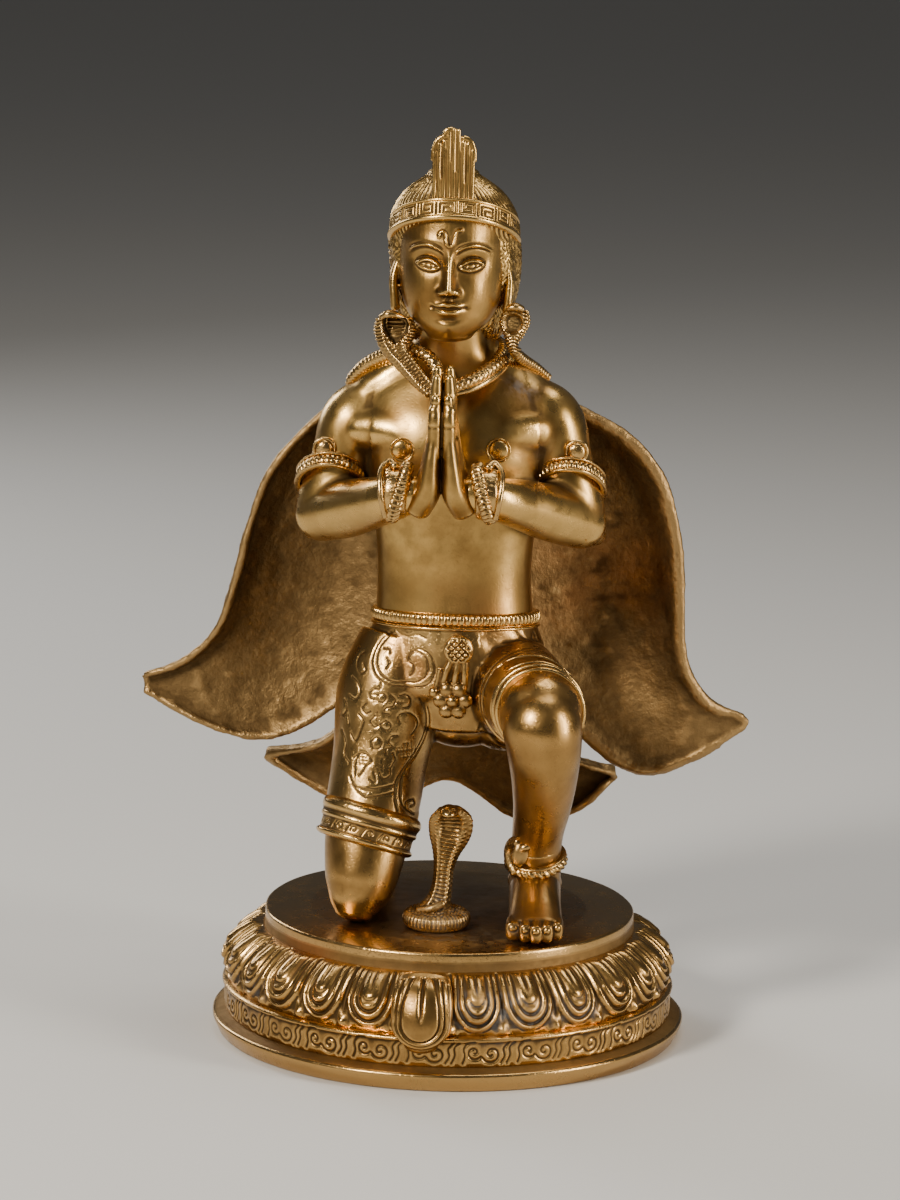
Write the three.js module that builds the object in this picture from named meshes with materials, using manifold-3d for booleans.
// A kneeling bronze figure with folded hands, two spread wings and a tail, on a round lotus base,
// with a small cobra rearing up between its knees.
// Millimetres, +Z up. The figure looks along -Y. The origin is the centre of the base's underside.
// "Right" and "left" are the figure's own: its right side is at -X.
import * as THREE from "three";
import { mergeVertices } from "three/addons/utils/BufferGeometryUtils.js";
import Module from "manifold-3d";

const wasm = await Module();
wasm.setup();

// Driving sizes
const FOOT_RING_RADIUS = 104.3;
const FRIEZE_RADIUS = 99;
const DECK_RADIUS = 81.5;
const DECK_HEIGHT = 55;
const PETAL_COUNT = 26;
const PETAL_TURN = THREE.MathUtils.degToRad(-3.3); // the front petal stands a little off the figure's axis
const CREST_TOP = 401;
const SHEET_THICKNESS = 3.4;
const JOINT_GAP = 0.3; // between castings that are fixed to each other

const X = new THREE.Vector3(1, 0, 0);
const Y = new THREE.Vector3(0, 1, 0);
const Z = new THREE.Vector3(0, 0, 1);

// Solids and how they are joined

function solidOf(geometry) {
  const bare = geometry.clone();
  bare.deleteAttribute("normal");
  bare.deleteAttribute("uv");
  const merged = mergeVertices(bare, 1e-3);
  const triVerts = new Uint32Array(merged.index.array);
  const vertProperties = new Float32Array(merged.attributes.position.array);
  const made = new wasm.Manifold(new wasm.Mesh({ numProp: 3, vertProperties, triVerts }));
  if (made.volume() > 0) return made;
  for (let i = 0; i < triVerts.length; i += 3) {
    [triVerts[i + 1], triVerts[i + 2]] = [triVerts[i + 2], triVerts[i + 1]];
  }
  return new wasm.Manifold(new wasm.Mesh({ numProp: 3, vertProperties, triVerts }));
}

function joined(geometries) {
  return geometries.map(solidOf).reduce((whole, next) => whole.add(next));
}

function meshOf(name, solid, material) {
  const { vertProperties, triVerts, numProp } = solid.getMesh();
  const position = new Float32Array((vertProperties.length / numProp) * 3);
  for (let i = 0; i < position.length / 3; i++) {
    position.set(vertProperties.subarray(i * numProp, i * numProp + 3), i * 3);
  }
  const geometry = new THREE.BufferGeometry();
  geometry.setAttribute("position", new THREE.BufferAttribute(position, 3));
  geometry.setIndex(new THREE.BufferAttribute(triVerts, 1));
  geometry.computeVertexNormals();
  const mesh = new THREE.Mesh(geometry, material);
  mesh.name = name;
  return mesh;
}

function reshape(geometry, place) {
  const position = geometry.attributes.position;
  const uv = geometry.attributes.uv;
  const point = new THREE.Vector3();
  for (let i = 0; i < position.count; i++) {
    point.fromBufferAttribute(position, i);
    place(point, uv.getX(i), uv.getY(i));
    position.setXYZ(i, point.x, point.y, point.z);
  }
  return geometry;
}

// A limb is a closed skin through its stations, [x, y, z, half width, half depth].
// The width lies along `across`, each end is rounded off by `ends` half sizes, and `level`
// keeps the sections horizontal instead of square to the path.
function limb(stations, options = {}) {
  const { across = X, sides = 12, ends = [0.5, 0.5], square = 2, level = false } = options;
  const rows = options.rows ?? stations.length;
  const path = new THREE.CatmullRomCurve3(stations.map(([x, y, z]) => new THREE.Vector3(x, y, z)));
  const sizes = new THREE.CatmullRomCurve3(stations.map(([, , , w, d]) => new THREE.Vector3(w, d ?? w, 0)));
  const levels = [];
  for (let i = 0; i < rows; i++) levels.push({ t: i / (rows - 1), grow: 1, push: 0 });
  for (const [t, reach, list] of [[0, -ends[0], "unshift"], [1, ends[1], "push"]]) {
    if (reach !== 0) levels[list]({ t, grow: 0.7, push: reach * 0.7 });
    levels[list]({ t, grow: 0, push: reach });
  }
  const skin = new THREE.SphereGeometry(1, sides, levels.length - 1);
  return reshape(skin, (point, u, v) => {
    const { t, grow, push } = levels[Math.round((1 - v) * (levels.length - 1))];
    const along = level ? Z : path.getTangent(t);
    const wide = across.clone().addScaledVector(along, -across.dot(along)).normalize();
    const deep = new THREE.Vector3().crossVectors(along, wide);
    const size = sizes.getPoint(t);
    const [c, s] = [Math.cos(2 * Math.PI * u), Math.sin(2 * Math.PI * u)];
    const bulge = (Math.abs(c) ** square + Math.abs(s) ** square) ** (-1 / square) * grow;
    point.copy(path.getPoint(t)).addScaledVector(along, push * Math.min(size.x, size.y));
    point.addScaledVector(wide, size.x * bulge * c).addScaledVector(deep, size.y * bulge * s);
  });
}

function ball([x, y, z], [rx, ry, rz], sides = 6) {
  return new THREE.SphereGeometry(1, sides, Math.ceil(sides * 0.6)).scale(rx, ry, rz).translate(x, y, z);
}

// A band is a closed ring that follows an oval, tilted about X and then about Y.
function band({ middle, half: [rx, ry], thick, tall, lean = 0, roll = 0, around = 12, sides = 4 }) {
  const ring = new THREE.TorusGeometry(1, 1, sides, around);
  const radians = THREE.MathUtils.degToRad;
  reshape(ring, (point, u, v) => {
    const [turn, face] = [2 * Math.PI * u, 2 * Math.PI * v + Math.PI / sides];
    const out = thick * Math.cos(face);
    point.set((rx + out) * Math.cos(turn), (ry + out) * Math.sin(turn), tall * Math.sin(face));
  });
  return ring.rotateX(radians(lean)).rotateY(radians(roll)).translate(...middle);
}

// A rope thins evenly from its first radius to its end. `swell` thickens all of it.
function rope({ path, radius, end }, swell = 0) {
  const last = path.length - 1;
  const stations = path.map(([x, y, z], i) => [x, y, z, radius + swell + ((end - radius) * i) / last]);
  return limb(stations, { across: Z, sides: 5 });
}

// Lotus base: foot ring, scroll frieze, one row of hanging petals and a plain drum
const BASE_PROFILE = [
  [0, 0],
  [FOOT_RING_RADIUS - 3.3, 0],
  [FOOT_RING_RADIUS, 7.2],
  [FRIEZE_RADIUS - 0.3, 9.8],
  [FRIEZE_RADIUS, 22],
  [FRIEZE_RADIUS - 1, 25],
  [FRIEZE_RADIUS - 3, 34],
  [FRIEZE_RADIUS - 8.5, 41.5],
  [DECK_RADIUS + 1, 46.5],
  [DECK_RADIUS, DECK_HEIGHT],
  [0, DECK_HEIGHT],
];
const PETAL_RISE = [22.5, 46]; // from the petals' tips to where they meet the drum
const PETAL_RELIEF = 3.4;
const COLUMNS_PER_PETAL = 3; // one in the groove and two on the petal
const FRONT_PETAL = { half: [12, 5.5, 13.2], middle: [0, -95.5, 32.3], lean: -12 };

// Each petal stands proud along its middle and is lost in the groove beside it.
function petalRelief(turn, height) {
  const rise = (height - PETAL_RISE[0]) / (PETAL_RISE[1] - PETAL_RISE[0]);
  if (rise < 0 || rise > 1) return 0;
  const place = ((turn - PETAL_TURN + Math.PI / 2) / (2 * Math.PI)) * PETAL_COUNT;
  const off = 2 * Math.abs(place - Math.round(place));
  const tip = Math.min(1, rise * 5 + 0.15);
  return off < 0.75 ? PETAL_RELIEF * tip * (1 - 0.6 * rise) : 0;
}

function lotusBase() {
  const outline = BASE_PROFILE.map(([radius, height]) => new THREE.Vector2(radius, height));
  const pitch = (2 * Math.PI) / PETAL_COUNT;
  const turned = new THREE.LatheGeometry(outline, PETAL_COUNT * COLUMNS_PER_PETAL, PETAL_TURN + pitch / 2);
  turned.rotateX(Math.PI / 2);
  reshape(turned, (point) => {
    const radius = Math.hypot(point.x, point.y);
    if (radius < DECK_RADIUS + 0.5) return;
    const grow = 1 + petalRelief(Math.atan2(point.y, point.x), point.z) / radius;
    point.set(point.x * grow, point.y * grow, point.z);
  });
  // the front petal is larger than the others and hangs over the frieze
  const frontPetal = ball([0, 0, 0], FRONT_PETAL.half, 10);
  frontPetal.rotateX(THREE.MathUtils.degToRad(FRONT_PETAL.lean));
  frontPetal.translate(...FRONT_PETAL.middle).rotateZ(PETAL_TURN);
  return joined([turned, frontPetal]);
}

// Trunk, head and headdress. Their sections are level.
const TRUNK = [
  [0, 4, 176, 36, 27],
  [-1, 4.5, 202, 33.5, 24.6],
  [-1, 4.5, 224, 35, 25.5],
  [-1, 4, 244, 38.7, 27.5],
  [-1.5, 4, 262, 41, 28],
  [-2.5, 5, 276, 42, 25.5],
  [-3, 6, 286.5, 37, 20.5],
  [-3, 6, 294, 26, 17],
  [-3, 5, 301, 16.5, 15.5],
  [-3.6, 1, 320, 15, 15],
];
const TRUNK_SKIN = { sides: 14, rows: 9, level: true, ends: [0, 0] };
const FACE_AXIS = -4.2;
const FACE = [
  [FACE_AXIS, -14.5, 313.4, 7.5, 8],
  [FACE_AXIS, -9.5, 318, 13.5, 15.2],
  [FACE_AXIS, -6, 324, 17.4, 19],
  [FACE_AXIS, -3.5, 332, 20, 21.5],
  [FACE_AXIS, -2, 342, 21.4, 23.6],
  [FACE_AXIS, 0, 356, 22, 26.5],
];
const CAP = [
  [-3.2, 9, 304, 16, 13],
  [-3.2, 8, 313, 22.5, 19],
  [-3.2, 7, 324, 25.8, 22.5],
  [-3.4, 5.5, 341, 27.3, 25.8],
  [-3.8, 3.5, 356, 27, 28.2],
  [-4.2, 2.5, 364, 24.6, 27.3],
  [-4.6, 2.5, 372, 18.6, 21.5],
  [-5, 2.5, 378, 10.5, 12.5],
];
const DIADEM = { middle: [-3.8, 1.5, 354.5], half: [27, 29.6], thick: 1.8, tall: 6, lean: -24, around: 14 };
const CREST = { foot: [-3.6, -20.5, 366], half: 9.2, thick: 2, top: 396.5, rounding: 4.5, tongue: 3.4 };
const CREST_FLUTES = { count: 9, groove: 0.75 };

function features() {
  const made = [
    // nose and mouth on plain proportions, the eyes halfway up the head
    limb([[FACE_AXIS, -24, 346, 1.6, 2], [FACE_AXIS, -27, 336, 2.6, 3], [FACE_AXIS, -27.6, 332.5, 4, 3]],
      { sides: 5, ends: [0, 0.5] }),
    ball([FACE_AXIS, -24.5, 324.5], [6.4, 2.6, 2.6]),
  ];
  for (const side of [-1, 1]) {
    const out = (reach) => FACE_AXIS + side * reach;
    made.push(ball([out(9.2), -21.5, 342.5], [5.4, 3.6, 2.4], 5));
    made.push(limb([[out(3), -25.5, 347.5, 1.1], [out(9), -24, 350.2, 1.2], [out(15.5), -18.5, 347.5, 0.9]],
      { across: Z, sides: 4, ends: [0, 0] }));
    const ear = [[out(24.5), -4, 346, 3.6, 2.4], [out(23.8), -6, 322, 3, 2.6]];
    made.push(limb(ear, { across: Y, sides: 5, ends: [0, 0.5] }));
  }
  return made;
}

// A fluted plate stands upright. `topAt` gives its height, from -1 at one edge across to 1 at the other.
function flutedPlate([x, y, z], half, thick, { count, groove }, topAt) {
  const plate = new THREE.BoxGeometry(1, 1, 1, count * 2, 1, 1);
  const position = plate.attributes.position;
  for (let i = 0; i < position.count; i++) {
    const across = position.getX(i) * 2;
    const up = position.getY(i) + 0.5;
    const depth = Math.round((across + 1) * count) % 2 === 0 ? thick - groove : thick;
    const height = z + (topAt(across) - z) * up;
    position.setXYZ(i, x + across * half, y + position.getZ(i) * 2 * depth, height);
  }
  return plate;
}

// The crest is rounded at both shoulders, with a taller tongue in the middle.
function crest() {
  const { foot, half, thick, top, rounding, tongue } = CREST;
  return flutedPlate(foot, half, thick, CREST_FLUTES, (across) =>
    Math.abs(across * half) < tongue ? CREST_TOP : top - rounding * Math.abs(across) ** 4);
}

function head() {
  return [
    limb(FACE, { sides: 10, level: true, ends: [0.3, 0] }),
    limb(CAP, { sides: 12, rows: 7, level: true, ends: [0, 0.25] }),
    band(DIADEM),
    ...features(),
    crest(),
  ];
}

// Arms: the elbows stand out at the sides and the forearms meet in front of the chest
const RIGHT_ARM = {
  upper: [
    [-34, 6, 279, 13, 12],
    [-45.5, 5.5, 272, 14.5, 15],
    [-51.5, 3, 254, 13.6, 14.2],
    [-58.5, 0, 232, 12.4, 12.5],
  ],
  fore: [
    [-59, 0, 229, 12, 12],
    [-47.5, -12, 234.5, 12.4, 12],
    [-35, -27, 240, 10.6, 10.5],
    [-24, -39.5, 244.5, 8.2, 8],
    [-13, -45, 247, 7.6, 7],
  ],
};
const LEFT_ARM = {
  upper: [
    [27, 6, 280, 13, 12],
    [37, 5.5, 274.5, 14.5, 15],
    [44.7, 3, 255, 13.7, 14.2],
    [52.2, 0, 233, 12.6, 12.5],
  ],
  fore: [
    [53.5, 0, 229, 12, 12],
    [41, -13, 235.5, 12.2, 12],
    [29, -27, 241, 10.4, 10.5],
    [17.5, -40, 245.5, 8.2, 8],
    [4, -45, 248, 7.6, 7],
  ],
};
const UPPER_ARM_SKIN = { sides: 9, ends: [0, 0.3] };
const PALM_PLANE = -4.6; // where the two palms touch
const FINGERS = { front: -56.6, back: -35, from: 266, tips: [292, 300, 303, 300], thick: 2.8, gap: 2.7 };
const FINGER_GROOVES = { count: 4, groove: 0.7 };
const TIP_NICK = 2.4; // how far the nick between two fingertips goes down

// The four fingers stand side by side, the little finger to the front.
function fingers(side) {
  const { front, back, from, tips, thick, gap } = FINGERS;
  const tipAt = (across) => {
    const place = (across + 1) * 2;
    const inner = Math.abs(place - Math.round(place)) < 0.1;
    const [here, next] = [tips[Math.floor(place)] ?? tips[3], tips[Math.ceil(place) - 1] ?? tips[0]];
    return inner ? Math.min(here, next) - TIP_NICK : tips[Math.floor(place)];
  };
  const plate = flutedPlate([0, 0, from], (back - front) / 2, thick, FINGER_GROOVES, tipAt);
  return plate.rotateZ(Math.PI / 2).translate(PALM_PLANE + side * gap, (front + back) / 2, 0);
}

function hand(side) {
  const at = (thick) => PALM_PLANE + side * thick;
  const palm = [
    [at(8), -45, 243, 8.5, 6.4],
    [at(6.2), -46, 252, 11, 5.8],
    [at(4), -46, 263, 11.2, 4],
    [at(3.2), -46, 272, 10.6, 3.4],
  ];
  const thumb = [[at(7), -37, 252, 4, 3.6], [at(4.4), -32.5, 264, 3.6, 3.2], [at(3), -31, 276, 2.6, 2.6]];
  return [
    limb(palm, { across: Y, sides: 8, square: 2.6, ends: [0.5, 0] }),
    limb(thumb, { sides: 5 }),
    fingers(side),
  ];
}

function arms() {
  const made = [...hand(-1), ...hand(1)];
  for (const { upper, fore } of [RIGHT_ARM, LEFT_ARM]) {
    made.push(limb(upper, UPPER_ARM_SKIN));
    made.push(limb(fore, { across: Z, sides: 8, ends: [1, 0] }));
  }
  return made;
}

// Legs: the right knee is on the deck and the left foot is planted in front
const HIPS = [
  [0, 4, 183, 36, 27],
  [-1, 4.5, 168, 42, 30],
  [-1.5, 5.5, 155, 44, 31],
  [-2, 5, 140, 35, 27],
];
const KNEELING_THIGH = [
  [-20, 5, 172, 22, 24],
  [-26.5, 0, 152, 24.2, 25.6],
  [-31, -9, 124, 20.8, 21.5],
  [-33, -16, 107, 20.4, 19.5],
  [-35, -22, 93, 19.6, 18.5],
  [-36.4, -27, 80, 17.4, 17],
  [-37.8, -31.5, 69, 14, 14],
  [-39.4, -35, 60.5, 9, 9],
];
const KNEELING_SHIN = [
  [-38, -30, 70, 12, 12],
  [-35, 3, 69.5, 12.8, 12.6],
  [-33, 34, 67, 8.8, 9.5],
  [-33, 46, 68, 8.2, 9.5],
];
const KNEELING_FOOT = [
  [-33, 48, 73, 8, 9],
  [-33, 51.5, 66, 9, 6],
  [-33, 47.5, 59.6, 10.5, 4.2],
];
const FRONT_THIGH = [
  [17, 6, 156, 24, 25],
  [25, -8, 158.5, 23, 23],
  [33, -27, 160.5, 20.5, 20],
  [38.5, -44, 160.5, 18.6, 18.4],
  [41, -54, 159, 17.4, 17.6],
];
const FRONT_SHIN = [
  [41, -54, 160, 18, 17],
  [42.4, -50, 142, 15.8, 16.2],
  [41, -36, 112, 12.6, 13.5],
  [38.6, -28, 94, 11.6, 11.5],
  [38, -23, 80, 11.6, 11.5],
];
const FRONT_FOOT = [
  [38, -14, 66, 11, 9.8],
  [38, -26, 68, 12, 12.2],
  [38.8, -40, 63.2, 12.2, 8],
  [39.2, -51, 60, 12.2, 4.7],
];
const FRONT_TOES = [
  [30, -57.5, 3.3],
  [35.4, -59.5, 2.5],
  [40.2, -59.3, 2.4],
  [44.8, -57.6, 2.3],
  [49.2, -54.6, 2.3],
];
const TOE_HEIGHT = 58.3;
const HIND_TOES = [-33, 43.5, TOE_HEIGHT];
const HIPS_SKIN = { sides: 12, level: true, ends: [0, 0.35] };
const KNEELING_THIGH_SKIN = { sides: 10, ends: [0, 0.6] };
const FRONT_THIGH_SKIN = { sides: 10, ends: [0, 0.5] };

function legs() {
  const toes = FRONT_TOES.map(([x, y, half]) => ball([x, y + 4, TOE_HEIGHT], [half, 7, 2.7], 5));
  return [
    limb(HIPS, HIPS_SKIN),
    limb(KNEELING_THIGH, KNEELING_THIGH_SKIN),
    limb(KNEELING_SHIN, { sides: 7, ends: [0, 0.5] }),
    limb(KNEELING_FOOT, { sides: 6 }),
    limb(FRONT_THIGH, FRONT_THIGH_SKIN),
    limb(FRONT_SHIN, { sides: 8, ends: [0.4, 0] }),
    limb(FRONT_FOOT, { sides: 8, ends: [0.8, 0.5] }),
    ...toes,
    ball(HIND_TOES, [9.6, 6, 3], 6),
  ];
}

// Snakes round the neck and over the shoulders, cast with the figure
const COLLAR = [
  [-8, -26.5, 289],
  [-1, -24, 291],
  [9, -19.5, 294.5],
  [16, -9, 299.5],
  [18, 4, 303],
  [11, 17, 306],
  [-3, 21, 307],
  [-17, 17, 306],
  [-24, 5, 304],
  [-22, -10, 301],
  [-15, -18, 301.5],
  [-9, -24, 297.5],
  [-7, -27.5, 290],
];
const RIGHT_COBRA = [
  [-8.5, -27, 290, 3.2, 3],
  [-16, -23.5, 295, 4, 3.2],
  [-24, -18.5, 301.5, 5, 3.4],
  [-29, -14, 308.5, 8.4, 3.6],
  [-29.6, -12.5, 315.5, 8.2, 3.4],
  [-30, -14.5, 319.5, 4.4, 3.4],
];
const LEFT_COBRA = [
  [31, 4, 296, 2.6, 2.4],
  [25.5, -2, 301, 3.1, 3],
  [20.5, -7, 306, 3.4, 3],
  [18.4, -9, 312, 5.6, 3],
  [18.2, -9.5, 318.5, 6.3, 3],
  [19.5, -12, 323, 3.8, 3.4],
];
const RIGHT_SHOULDER_TAIL = {
  path: [[-23, 2, 303.5], [-32, 2, 302.5], [-40, 4, 299.5], [-46.5, 7, 294], [-49.5, 10, 288.5]],
  radius: 3.9,
  end: 2.6,
};
const LEFT_SHOULDER_TAIL = {
  path: [[30, 5, 296.5], [35, 8, 293.5], [40, 11, 289]],
  radius: 2.8,
  end: 2,
};

function snakes() {
  return [
    limb(COLLAR.map((point) => [...point, 2.8, 3]), { across: Z, sides: 4, rows: 11, ends: [0, 0] }),
    limb(RIGHT_COBRA, { sides: 5, ends: [0, 0.5] }),
    limb(LEFT_COBRA, { sides: 5, ends: [0, 0.5] }),
    rope(RIGHT_SHOULDER_TAIL),
    rope(LEFT_SHOULDER_TAIL),
  ];
}

// Belt, hems, bands, rosette and tassel, cast with the figure
const BELT = { middle: [0, 4, 184], half: [34.8, 26.3], thick: 2.6, tall: 4, lean: 2.4, around: 14 };
const BANDS = [
  BELT,
  // hem above the kneeling knee and hem at the raised knee
  { middle: [-35.5, -21.5, 92.5], half: [19.4, 19.2], thick: 2.6, tall: 5.6, lean: -14, roll: 15 },
  { middle: [38, -42, 160.5], half: [19.4, 19], thick: 2, tall: 2.8, lean: 88, roll: 14, sides: 3 },
  // armbands
  { middle: [-53.2, 2.5, 250], half: [13.6, 13.8], thick: 2.6, tall: 3.8, lean: -14, roll: 16, sides: 3 },
  { middle: [46, 2.5, 251], half: [13.9, 13.8], thick: 2.6, tall: 3.8, lean: -14, roll: -16, sides: 3 },
  // bracelets
  { middle: [-22, -41, 244.5], half: [8.6, 9], thick: 2.4, tall: 6, roll: 62, around: 8 },
  { middle: [15, -42, 245.5], half: [8.6, 9], thick: 2.4, tall: 6, roll: -62, around: 8 },
  // anklet
  { middle: [38.4, -24.5, 83.5], half: [11.8, 11.8], thick: 2.6, tall: 2.8, lean: -18, roll: 6, sides: 3 },
];
const ARMBAND_BOSSES = [[-49, -11.5, 256.5], [43.5, -11.5, 257]];
const ANKLET_KNOT = [29, -35.5, 88.5];
const ROSETTE = [3, -27.2, 176];
const FLOWER = [1.5, -28.6, 154];
const FLOWER_PETALS = { count: 6, radius: 4.1, half: [2.5, 5, 2.5] };
const STRANDS = [-5, 0, 4.5]; // how far each cord's lower end is from the flower's middle

function tassel() {
  const [fx, fy, fz] = FLOWER;
  const [rx, , rz] = ROSETTE;
  const { count, radius, half } = FLOWER_PETALS;
  const made = STRANDS.map((off) => {
    const cord = [[rx + off * 0.7, fy + 1.1, rz - 3, 1.6, 3], [fx + off, fy - 0.4, fz + 1, 1.6, 4]];
    return limb(cord, { sides: 4, ends: [0, 0] });
  });
  for (let i = 0; i < count; i++) {
    const turn = (i * 2 * Math.PI) / count;
    made.push(ball([fx + radius * Math.sin(turn), fy + 0.8, fz + radius * Math.cos(turn)], half, 5));
  }
  made.push(ball([fx, fy - 2.4, fz], [2.4, 2.6, 2.4], 5));
  return made;
}

function ornaments() {
  return [
    ...BANDS.map(band),
    ...ARMBAND_BOSSES.map((middle) => ball(middle, [3.4, 2.4, 3.6], 5)),
    ball(ANKLET_KNOT, [3.8, 3, 4]),
    ball(ROSETTE, [6.4, 3, 6.4], 7),
    ...tassel(),
  ];
}

// Wings and tail: thin cast sheets, each between an inner and an outer edge that meet at its tip.
// Edge points run from the shoulder or rump down to the tip.
const RIGHT_WING = {
  outer: [
    [-30, 26, 289],
    [-48, 25, 279.5],
    [-69.5, 27, 261],
    [-85.2, 28, 241],
    [-92.6, 29, 220],
    [-99.2, 30, 194.5],
    [-107.5, 32, 170],
    [-122, 36, 154.5],
    [-143, 40, 145.5],
  ],
  inner: [
    [-6, 27, 284],
    [-5, 31, 256],
    [-5, 31, 226],
    [-6, 32, 196],
    [-18, 37, 168],
    [-48, 42, 140],
    [-88, 38, 119.5],
    [-118, 37, 127.5],
    [-141, 39.5, 140],
  ],
};
const LEFT_WING = {
  outer: [
    [26, 26, 289],
    [48.5, 25, 276],
    [70.6, 27, 265],
    [87, 28, 247.5],
    [95.4, 29, 222],
    [98.6, 30, 192],
    [101, 32, 162.5],
    [110.5, 36, 144.5],
    [130.5, 40, 134.5],
  ],
  inner: [
    [2, 27, 284],
    [3, 31, 256],
    [3, 31, 226],
    [4, 32, 194],
    [14, 37, 164],
    [44, 43, 134],
    [86, 39, 108.5],
    [112, 37, 119.5],
    [128.5, 39.5, 129],
  ],
};
const WING_HOLLOW = 15;
const TAIL_HOLLOW = 6;
const TAIL = {
  top: [[-87.5, 60, 106.5], [-62, 48, 115], [-20, 32, 160], [12, 32, 160], [48, 48, 113], [70.5, 60, 103]],
  // two rounded lobes with a notch between them
  bottom: [
    [-87.5, 60, 106.5],
    [-66, 64, 92],
    [-40, 68, 82],
    [-5.5, 73, 96],
    [30, 68, 79.5],
    [55, 64, 86],
    [70.5, 60, 103],
  ],
};

const curveOf = (points) => new THREE.CatmullRomCurve3(points.map((point) => new THREE.Vector3(...point)));

// A sheet is a box whose two faces follow surfaceAt(u, v), half a thickness to each side.
function sheet(surfaceAt, columns, rows) {
  const step = 1e-3;
  const slab = new THREE.BoxGeometry(1, 1, 1, columns, rows, 1);
  const position = slab.attributes.position;
  for (let i = 0; i < position.count; i++) {
    const [u, v] = [position.getX(i) + 0.5, position.getY(i) + 0.5];
    const [u0, v0] = [Math.min(u, 1 - step), Math.min(v, 1 - step)];
    const here = surfaceAt(u0, v0);
    const alongU = surfaceAt(u0 + step, v0).sub(here);
    const alongV = surfaceAt(u0, v0 + step).sub(here);
    const normal = alongU.cross(alongV).normalize();
    const at = surfaceAt(u, v).addScaledVector(normal, position.getZ(i) * SHEET_THICKNESS);
    position.setXYZ(i, at.x, at.y, at.z);
  }
  return slab;
}

// The wing is hollow in front: its belly lies behind the plane of its edges.
function wing({ outer, inner }) {
  const [outerEdge, innerEdge] = [curveOf(outer), curveOf(inner)];
  return sheet((u, v) => {
    const at = innerEdge.getPoint(v).lerp(outerEdge.getPoint(v), u);
    at.y += WING_HOLLOW * Math.sin(Math.PI * Math.min(1, v * 1.15)) * Math.sin(Math.PI * u ** 1.25);
    return at;
  }, 4, 11);
}

function tail() {
  const [top, bottom] = [curveOf(TAIL.top), curveOf(TAIL.bottom)];
  return sheet((u, v) => {
    const at = bottom.getPoint(u).lerp(top.getPoint(u), 0.04 + 0.96 * v);
    at.y += TAIL_HOLLOW * Math.sin(Math.PI * v);
    return at;
  }, 18, 2);
}

// Cobra: a flat coil, a rearing neck and a spread hood
const COBRA_AT = [-3.5, -36.5];
const COIL_RADIUS = 15;
const COIL_PROFILE = [
  [0, 0],
  [COIL_RADIUS - 1.5, 0],
  [COIL_RADIUS, 2.4],
  [COIL_RADIUS - 0.6, 5.4],
  [COIL_RADIUS - 3.5, 7.2],
  [0, 7.6],
];
const COBRA_NECK = [
  [1.6, 2, 6, 6.4, 6],
  [2.2, 2.5, 15, 4.8, 4.6],
  [3, 2.5, 27, 5, 4.2],
  [4.4, 1.5, 37, 8.2, 3.2],
  [5.4, 0, 45, 9.6, 3],
  [5, -2, 51.5, 7, 3.6],
];
const COBRA_SNOUT = [4.4, -4.5, 52.4];

function cobra() {
  const coil = new THREE.LatheGeometry(COIL_PROFILE.map((point) => new THREE.Vector2(...point)), 14);
  const neck = limb(COBRA_NECK, { sides: 8, rows: 7 });
  const snout = ball(COBRA_SNOUT, [4.4, 5, 2.8]);
  const parts = [coil.rotateX(Math.PI / 2), neck, snout];
  return joined(parts.map((part) => part.translate(...COBRA_AT, DECK_HEIGHT + JOINT_GAP)));
}

// The statue
const bronze = new THREE.MeshStandardMaterial({ color: 0xa5793a, roughness: 0.32, metalness: 1 });
const roughBronze = new THREE.MeshStandardMaterial({ color: 0x86602f, roughness: 0.5, metalness: 1 });

const deck = new THREE.CylinderGeometry(DECK_RADIUS, DECK_RADIUS, DECK_HEIGHT, 24).rotateX(Math.PI / 2);
const deckClearance = solidOf(deck.translate(0, 0, DECK_HEIGHT / 2 + JOINT_GAP));
const body = [limb(TRUNK, TRUNK_SKIN), ...head(), ...arms(), ...legs(), ...snakes(), ...ornaments()];
const figure = joined(body).subtract(deckClearance);

// The wings and the tail stay clear of the back of the trunk, the hips, the arms and the thighs.
const swollen = (stations) => stations.map(([x, y, z, w, d]) => [x, y, z, w + JOINT_GAP, d + JOINT_GAP]);
const backClearance = joined([
  limb(swollen(TRUNK), { ...TRUNK_SKIN, ends: [0.5, 0.5] }),
  limb(swollen(HIPS), HIPS_SKIN),
  limb(swollen(RIGHT_ARM.upper), UPPER_ARM_SKIN),
  limb(swollen(LEFT_ARM.upper), UPPER_ARM_SKIN),
  limb(swollen(KNEELING_THIGH), KNEELING_THIGH_SKIN),
  limb(swollen(FRONT_THIGH), FRONT_THIGH_SKIN),
  band({ ...BELT, thick: BELT.thick + JOINT_GAP, tall: BELT.tall + JOINT_GAP }),
  rope(RIGHT_SHOULDER_TAIL, JOINT_GAP),
  rope(LEFT_SHOULDER_TAIL, JOINT_GAP),
]);
const clearOfBack = (geometry) => solidOf(geometry).subtract(backClearance);

const statue = new THREE.Group();
statue.name = "statue";
statue.add(meshOf("lotus_base", lotusBase(), bronze));
statue.add(meshOf("figure", figure, bronze));
statue.add(meshOf("right_wing", clearOfBack(wing(RIGHT_WING)), roughBronze));
statue.add(meshOf("left_wing", clearOfBack(wing(LEFT_WING)), roughBronze));
statue.add(meshOf("tail", clearOfBack(tail()), roughBronze));
statue.add(meshOf("cobra", cobra(), bronze));

export default statue;
